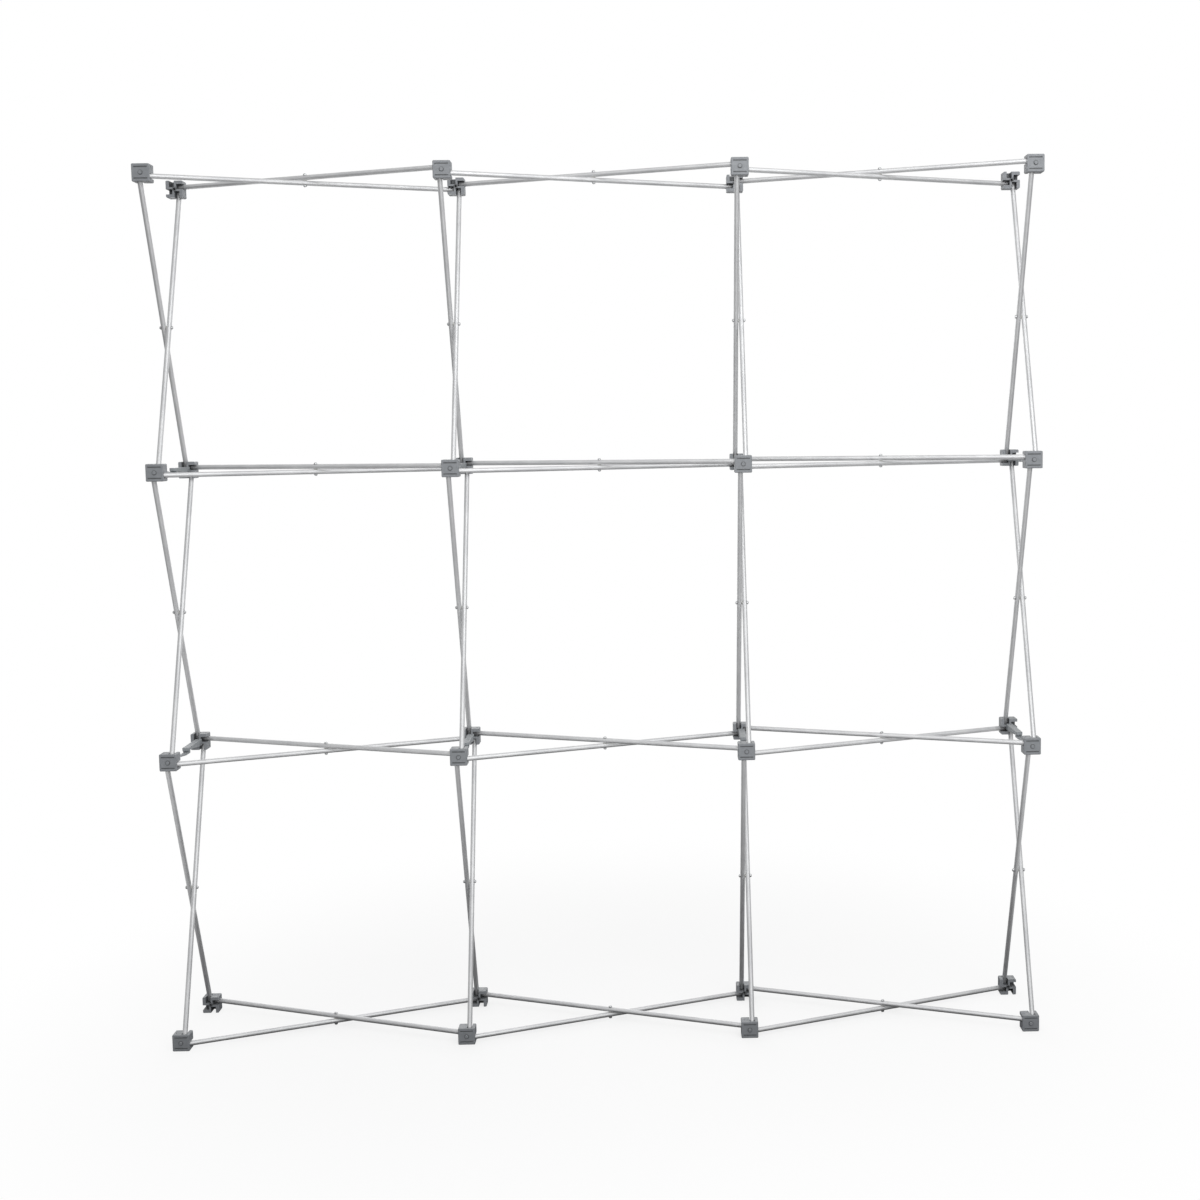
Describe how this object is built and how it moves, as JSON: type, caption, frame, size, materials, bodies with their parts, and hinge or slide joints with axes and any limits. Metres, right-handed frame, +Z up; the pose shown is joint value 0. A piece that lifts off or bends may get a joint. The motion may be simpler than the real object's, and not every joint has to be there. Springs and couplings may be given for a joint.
{
  "type": "display wall frame",
  "caption": "Free-standing square pop-up display frame of crossed aluminium tubes between moulded hubs, held open by hook locks.",
  "frame": {"origin": "on the floor, under the middle of the frame", "axes": "+X right as seen from the front, +Y from front to back, +Z up"},
  "size_m": [2.255, 0.296, 2.255],
  "materials": {
    "hub_plastic": "fine moulded grain",
    "tube_aluminium": "satin anodised",
    "rivet_metal": "satin",
    "washer_nylon": "plain",
    "pin_steel": "ground",
    "lock_plastic": "fine moulded grain"
  },
  "bodies": {
    "frame": {"back_hub_row1_column1": "hub_plastic", "back_hub_row1_column2": "hub_plastic", "back_hub_row1_column3": "hub_plastic", "back_hub_row1_column4": "hub_plastic", "back_hub_row2_column1": "hub_plastic", "back_hub_row2_column2": "hub_plastic", "back_hub_row2_column3": "hub_plastic", "back_hub_row2_column4": "hub_plastic", "back_hub_row3_column1": "hub_plastic", "back_hub_row3_column2": "hub_plastic", "back_hub_row3_column3": "hub_plastic", "back_hub_row3_column4": "hub_plastic", "back_hub_row4_column1": "hub_plastic", "back_hub_row4_column2": "hub_plastic", "back_hub_row4_column3": "hub_plastic", "back_hub_row4_column4": "hub_plastic", "column1_tubes": "tube_aluminium", "column2_tubes": "tube_aluminium", "column3_tubes": "tube_aluminium", "column4_tubes": "tube_aluminium", "column_rivets": "rivet_metal", "column_washers": "washer_nylon", "front_hub_row1_column1": "hub_plastic", "front_hub_row1_column2": "hub_plastic", "front_hub_row1_column3": "hub_plastic", "front_hub_row1_column4": "hub_plastic", "front_hub_row2_column1": "hub_plastic", "front_hub_row2_column2": "hub_plastic", "front_hub_row2_column3": "hub_plastic", "front_hub_row2_column4": "hub_plastic", "front_hub_row3_column1": "hub_plastic", "front_hub_row3_column2": "hub_plastic", "front_hub_row3_column3": "hub_plastic", "front_hub_row3_column4": "hub_plastic", "front_hub_row4_column1": "hub_plastic", "front_hub_row4_column2": "hub_plastic", "front_hub_row4_column3": "hub_plastic", "front_hub_row4_column4": "hub_plastic", "hub_pins": "pin_steel", "lock_brackets": "lock_plastic", "lock_catches": "lock_plastic", "lock_hinge_pins": "pin_steel", "row1_tubes": "tube_aluminium", "row2_tubes": "tube_aluminium", "row3_tubes": "tube_aluminium", "row4_tubes": "tube_aluminium", "row_rivets": "rivet_metal", "row_washers": "washer_nylon"},
    "hook_row2_column1": {"lock_hook_row2_column1": "lock_plastic"},
    "hook_row2_column2": {"lock_hook_row2_column2": "lock_plastic"},
    "hook_row2_column3": {"lock_hook_row2_column3": "lock_plastic"},
    "hook_row2_column4": {"lock_hook_row2_column4": "lock_plastic"},
    "hook_row3_column1": {"lock_hook_row3_column1": "lock_plastic"},
    "hook_row3_column2": {"lock_hook_row3_column2": "lock_plastic"},
    "hook_row3_column3": {"lock_hook_row3_column3": "lock_plastic"},
    "hook_row3_column4": {"lock_hook_row3_column4": "lock_plastic"}
  },
  "joints": [
    {"name": "release_row2_column1", "type": "hinge", "parent": "frame", "child": "hook_row2_column1", "pos_m": [-1.1055, 0.1022, 1.498], "axis": [-1, 0, 0], "range_deg": [0, 35]},
    {"name": "release_row2_column2", "type": "hinge", "parent": "frame", "child": "hook_row2_column2", "pos_m": [-0.3685, 0.1022, 1.498], "axis": [-1, 0, 0], "range_deg": [0, 35]},
    {"name": "release_row2_column3", "type": "hinge", "parent": "frame", "child": "hook_row2_column3", "pos_m": [0.3685, 0.1022, 1.498], "axis": [-1, 0, 0], "range_deg": [0, 35]},
    {"name": "release_row2_column4", "type": "hinge", "parent": "frame", "child": "hook_row2_column4", "pos_m": [1.1055, 0.1022, 1.498], "axis": [-1, 0, 0], "range_deg": [0, 35]},
    {"name": "release_row3_column1", "type": "hinge", "parent": "frame", "child": "hook_row3_column1", "pos_m": [-1.1055, 0.1022, 0.761], "axis": [-1, 0, 0], "range_deg": [0, 35]},
    {"name": "release_row3_column2", "type": "hinge", "parent": "frame", "child": "hook_row3_column2", "pos_m": [-0.3685, 0.1022, 0.761], "axis": [-1, 0, 0], "range_deg": [0, 35]},
    {"name": "release_row3_column3", "type": "hinge", "parent": "frame", "child": "hook_row3_column3", "pos_m": [0.3685, 0.1022, 0.761], "axis": [-1, 0, 0], "range_deg": [0, 35]},
    {"name": "release_row3_column4", "type": "hinge", "parent": "frame", "child": "hook_row3_column4", "pos_m": [1.1055, 0.1022, 0.761], "axis": [-1, 0, 0], "range_deg": [0, 35]}
  ]
}
